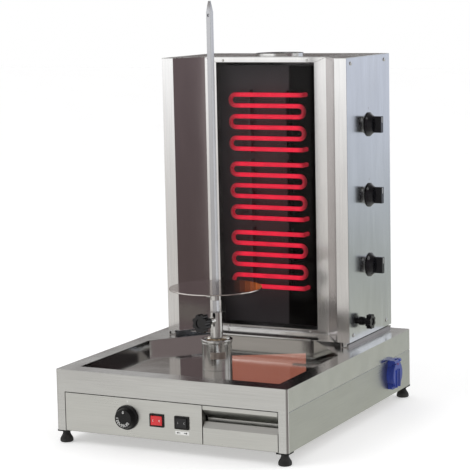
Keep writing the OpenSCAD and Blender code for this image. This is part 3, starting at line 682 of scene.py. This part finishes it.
def frame_screws():
    """Small round-headed screws that hold the glass frame."""
    low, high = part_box("glass_frame")
    shapes = []
    out = Matrix.Rotation(math.radians(90), 4, "X")
    for side in (-1, 1):
        for z in (high.z - 6.6 * MM, low.z + 5.2 * MM):
            at = Vector(((low.x + high.x) / 2 + side * 96 * MM, low.y, z))
            shapes.append(rivet(Matrix.Translation(at) @ out, 2.6 * MM, 1.2 * MM, 20, 4))
    v, f = joined(shapes)
    mesh_piece("frame_screws", v, f, "bright", "tower", smooth=True)


def socket_pin():
    """The head of the pin that the outlet's lid turns on."""
    low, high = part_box("socket_lid")
    y = (low.y + high.y) / 2
    at = Vector((high.x - 2.1 * MM, y, high.z - 8.5 * MM))
    v, f = rivet(Matrix.Translation(at) @ Matrix.Rotation(math.radians(90), 4, "Y"), 2.4 * MM, 1.2 * MM)
    mesh_piece("socket_lid_pin", v, f, "dark_red", "socket_cover", smooth=True)


dial_marks()
panel_marks()
rocker_marks()
knob_marks()
plate_rivets()
frame_screws()
socket_pin()


# ------------------------------------------------------------------ stage and light

def plane(name, corners, material):
    """A flat sheet of the stage, which is no part of the grill."""
    data = bpy.data.meshes.new(name)
    data.from_pydata(corners, [], [(0, 1, 2, 3)])
    data.update()
    obj = bpy.data.objects.new(name, data)
    scene.collection.objects.link(obj)
    data.materials.append(material)
    return obj


def floor_material():
    """White and a little bright of itself, so that it fades into the white background."""
    g = Material("pale_floor")
    soft = g.noise(3.0, detail=2.0)
    g.put(Base_Color=g.ramp(soft, [(0.3, (0.86, 0.86, 0.86)), (0.7, (0.9, 0.9, 0.9))]),
          Roughness=g.span(soft, 0.75, 0.85), Emission_Color=(1.0, 1.0, 1.0, 1.0), Emission_Strength=0.35)
    return g.mat


FLOOR_REACH = 14.0
FLOOR_Z = -0.0005
corners = [(x * FLOOR_REACH, y * FLOOR_REACH, FLOOR_Z) for x, y in ((-1, -1), (1, -1), (1, 1), (-1, 1))]
floor = plane("floor", corners, floor_material())
floor.visible_glossy = False


# What polished steel reflects, by the height of the reflected ray: -1 is straight down, 1 straight up
FRONT_STOPS = [(-1.0, (0.92, 0.91, 0.88)), (-0.45, (0.86, 0.85, 0.82)), (-0.24, (0.76, 0.75, 0.72)),
               (-0.16, (0.60, 0.57, 0.54)), (-0.10, (0.80, 0.78, 0.76)), (-0.03, (1.3, 1.3, 1.3)),
               (0.06, (1.3, 1.3, 1.3)), (0.14, (0.42, 0.39, 0.37)), (0.3, (0.42, 0.39, 0.37)),
               (0.42, (0.95, 0.95, 0.94)), (0.6, (0.8, 0.79, 0.78)), (0.8, (0.3, 0.28, 0.27))]
MIDDLE_STOPS = [(-1.0, (0.5, 0.48, 0.45)), (-0.3, (0.30, 0.28, 0.27)), (0.1, (0.34, 0.32, 0.31)),
                (0.7, (0.15, 0.13, 0.12))]
DARK_STOPS = [(-1.0, (0.5, 0.48, 0.45)), (-0.5, (0.24, 0.2, 0.19)), (-0.15, (0.150, 0.118, 0.116)),
              (-0.03, (0.23, 0.19, 0.20)), (0.4, (0.22, 0.18, 0.18)), (0.7, (0.14, 0.12, 0.11))]
SOFT_STOPS = [(-1.0, (0.7, 0.69, 0.66)), (-0.2, (0.50, 0.49, 0.46)), (0.1, (0.58, 0.58, 0.58)),
              (0.7, (0.3, 0.28, 0.27))]
STRIP_STOPS = [(-1.0, (0.9, 0.9, 0.88)), (-0.4, (1.0, 1.0, 1.0)), (-0.05, (1.3, 1.3, 1.3)),
               (0.06, (0.9, 0.9, 0.9)), (0.14, (0.3, 0.28, 0.27)), (0.7, (0.3, 0.28, 0.27))]
SIDE_STOPS = [(-1.0, (0.8, 0.8, 0.76)), (-0.4, (0.62, 0.62, 0.56)), (-0.20, (0.54, 0.55, 0.49)),
              (-0.15, (0.36, 0.39, 0.37)), (-0.11, (0.60, 0.64, 0.72)), (-0.04, (0.72, 0.76, 0.89)),
              (0.06, (0.86, 0.90, 1.02)), (0.3, (0.95, 0.97, 1.0)), (0.7, (0.35, 0.34, 0.34))]
BACK_STOPS = [(-1.0, (0.5, 0.5, 0.48)), (-0.2, (0.3, 0.28, 0.26)), (-0.02, (0.12, 0.1, 0.095)),
              (0.205, (0.115, 0.095, 0.09)), (0.26, (0.8, 0.8, 0.79)), (0.36, (1.4, 1.42, 1.42)),
              (0.62, (0.9, 0.9, 0.9)), (0.8, (0.14, 0.12, 0.11))]
OVERHEAD = (1.0, (0.10, 0.085, 0.08))  # the last stop of them all
# The zones round the object: each fades in between two bearings, in degrees from the front to the right
ZONES = [(-100, -70, FRONT_STOPS), (-6, 10, MIDDLE_STOPS), (58, 67, DARK_STOPS), (88, 96, SOFT_STOPS),
         (115, 121, STRIP_STOPS), (128, 136, SIDE_STOPS), (172, 180, BACK_STOPS)]


AMBIENT = 0.75  # the even light on matt surfaces


def make_world():
    """White to the camera, even light for matt surfaces, and a studio for polished ones to reflect."""
    world = bpy.data.worlds.new("studio")
    scene.world = world
    world.use_nodes = True
    w = Graph(world.node_tree)
    w.tree.nodes.clear()

    def by_height(height, stops):
        return w.ramp(height, [(at / 2 + 0.5, colour) for at, colour in stops + [OVERHEAD]])

    def plain(level):
        background = w.node("Background")
        background.inputs[0].default_value = (level, level, level, 1.0)
        return background.outputs[0]

    def either(share, a, b):
        m = w.node("MixShader")
        w.link(share, m.inputs[0])
        w.link(a, m.inputs[1])
        w.link(b, m.inputs[2])
        return m.outputs[0]

    ray = w.parts(w.node("TexCoord").outputs["Generated"])
    height = w.span(ray[2], 0.0, 1.0, -1.0, 1.0)
    bearing = w.math("ARCTAN2", ray[0], w.math("MULTIPLY", ray[1], -1.0))
    room = by_height(height, BACK_STOPS)
    for start, end, stops in ZONES:
        share = w.span(bearing, 0.0, 1.0, math.radians(start), math.radians(end), "SMOOTHSTEP")
        room = w.mix(share, room, by_height(height, stops))
    studio = w.node("Background")
    w.link(room, studio.inputs[0])
    path = w.node("LightPath")
    light = either(path.outputs["Is Diffuse Ray"], studio.outputs[0], plain(AMBIENT))
    light = either(path.outputs["Is Camera Ray"], light, plain(1.0))
    w.link(light, w.node("OutputWorld").inputs[0])


make_world()


def area_light(name, at, towards, size, power, colour=(1, 1, 1), seen=True):
    """A soft lamp; with seen, polished surfaces reflect it too."""
    data = bpy.data.lights.new(name, "AREA")
    data.shape = "RECTANGLE"
    data.size, data.size_y = size
    data.energy = power
    data.color = colour
    lamp = bpy.data.objects.new(name, data)
    lamp.location = at
    lamp.rotation_mode = "QUATERNION"
    lamp.rotation_quaternion = (Vector(towards) - Vector(at)).to_track_quat("-Z", "Y")
    lamp.visible_camera = False
    lamp.visible_glossy = seen
    scene.collection.objects.link(lamp)
    return lamp


area_light("key_light", at=(-1.6, -2.2, 2.6), towards=(0, 0, 0.3), size=(1.6, 1.2), power=22, seen=False)
area_light("side_light", at=(2.6, 0.6, 1.8), towards=(0, 0.1, 0.4), size=(1.4, 1.4), power=10)

GLOW_FORWARD = 75 * MM  # how far before the glass frame the glow's lamps stand
GLOW_AIM = (0.5, -0.87)  # the way that they shine, in x and y: a little to the right of straight ahead
GLOW_SPREAD = math.radians(60)
DISC_LAMPS = 9
DISC_LAMP_WIDTH = 0.0125
DISC_LAMPS_FROM = -0.035  # the middle of the first one, from the glass's middle


def glow_light(name, middle, low_z, high_z, width, radiance, colour, receivers):
    """The heaters' warm light, only for the pieces that it is meant for."""
    low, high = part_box("glass_frame")
    x, y, z = (low.x + high.x) / 2 + middle, low.y - GLOW_FORWARD, (low_z + high_z) / 2
    size = (width, high_z - low_z)
    power = radiance * math.pi * size[0] * size[1]
    lamp = area_light(name, (x, y, z), (x + GLOW_AIM[0], y + GLOW_AIM[1], z), size, power, colour)
    lamp.data.spread = GLOW_SPREAD
    group = bpy.data.collections.new(name + "_receivers")
    for n in receivers:
        group.objects.link(nodes[n])
    lamp.light_linking.receiver_collection = group


glow_light("tray_glow", middle=0.02, low_z=0.13, high_z=0.84, width=0.18, radiance=0.050,
           colour=(1.0, 0.34, 0.23), receivers=["drip_pan", "edge_rod"])
for step in range(DISC_LAMPS):  # a row of narrow lamps, brighter towards the right
    glow_light("disc_glow_%d" % step, middle=DISC_LAMPS_FROM + DISC_LAMP_WIDTH * step,
               low_z=0.29, high_z=0.33, width=DISC_LAMP_WIDTH, radiance=0.0026 * (step + 1) ** 1.8,
               colour=(1.0, 0.26, 0.06), receivers=["meat_disc"])
